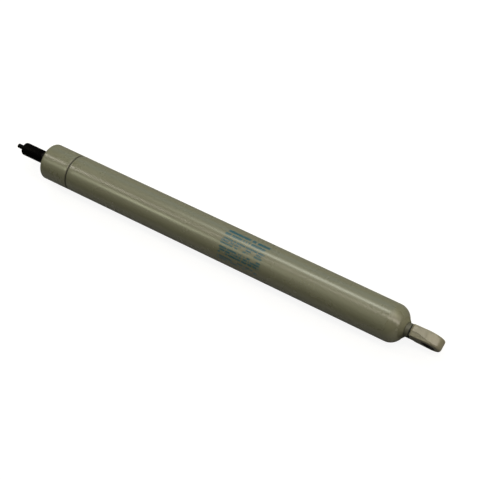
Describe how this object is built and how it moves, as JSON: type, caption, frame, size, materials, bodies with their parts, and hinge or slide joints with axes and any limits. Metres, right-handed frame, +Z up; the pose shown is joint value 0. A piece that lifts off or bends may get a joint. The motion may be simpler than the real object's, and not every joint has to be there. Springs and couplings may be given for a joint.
{
  "type": "locking gas strut",
  "caption": "Slim round gas strut that locks at any stroke, with a hollow black rod, a release pin in the rod's tip and a flat eyelet on the closed tube end.",
  "frame": {"origin": "centre of the eyelet's bore", "axes": "+X along the strut from the eyelet to the rod's tip, +Y along the eyelet's bore, +Z up"},
  "size_m": [0.3845, 0.028, 0.028],
  "materials": {
    "paint": "satin warm grey paint",
    "black_rod": "black nitrided, fine ground",
    "black_pin": "black nitrided",
    "bronze": "sintered bronze with a slide layer",
    "rubber": "moulded, matt",
    "steel": "turned",
    "aluminium": "turned",
    "slide_plastic": "pale slide plastic"
  },
  "bodies": {
    "cylinder": {"pressure_tube": "paint", "gland_head": "paint", "eyelet": "paint", "eyelet_weld": "paint", "lock_ring": "steel", "gland_o_ring": "rubber", "guide_bush": "bronze", "rod_seal": "rubber", "seal_backup_ring": "slide_plastic", "seal_support_washer": "steel", "seal_snap_ring": "steel", "rod_wiper": "rubber", "end_buffer": "rubber"},
    "rod": {"piston_rod": "black_rod", "pin_guide_bush": "bronze", "piston_washer": "steel", "piston": "aluminium", "piston_ring": "slide_plastic", "piston_o_ring": "rubber", "piston_nut": "steel"},
    "release_pin": {"release_pin": "black_pin", "valve_tappet": "steel", "tappet_o_ring": "rubber", "tappet_face_seal": "rubber"},
    "separator": {"separator_piston": "aluminium", "separator_o_ring": "rubber", "separator_guide_ring": "slide_plastic"}
  },
  "joints": [
    {"name": "rod_slide", "type": "slide", "parent": "cylinder", "child": "rod", "axis": [1, 0, 0], "range_m": [0, 0.15]},
    {"name": "release_press", "type": "slide", "parent": "rod", "child": "release_pin", "axis": [-1, 0, 0], "range_m": [0, 0.003], "stiffness_N_per_m": 2000, "springref_m": -0.005},
    {"name": "separator_slide", "type": "slide", "parent": "cylinder", "child": "separator", "axis": [1, 0, 0], "range_m": [0, 0.024]}
  ],
  "couplings": [
    {"joint": "separator_slide", "follows": "rod_slide", "ratio": 0.16}
  ]
}
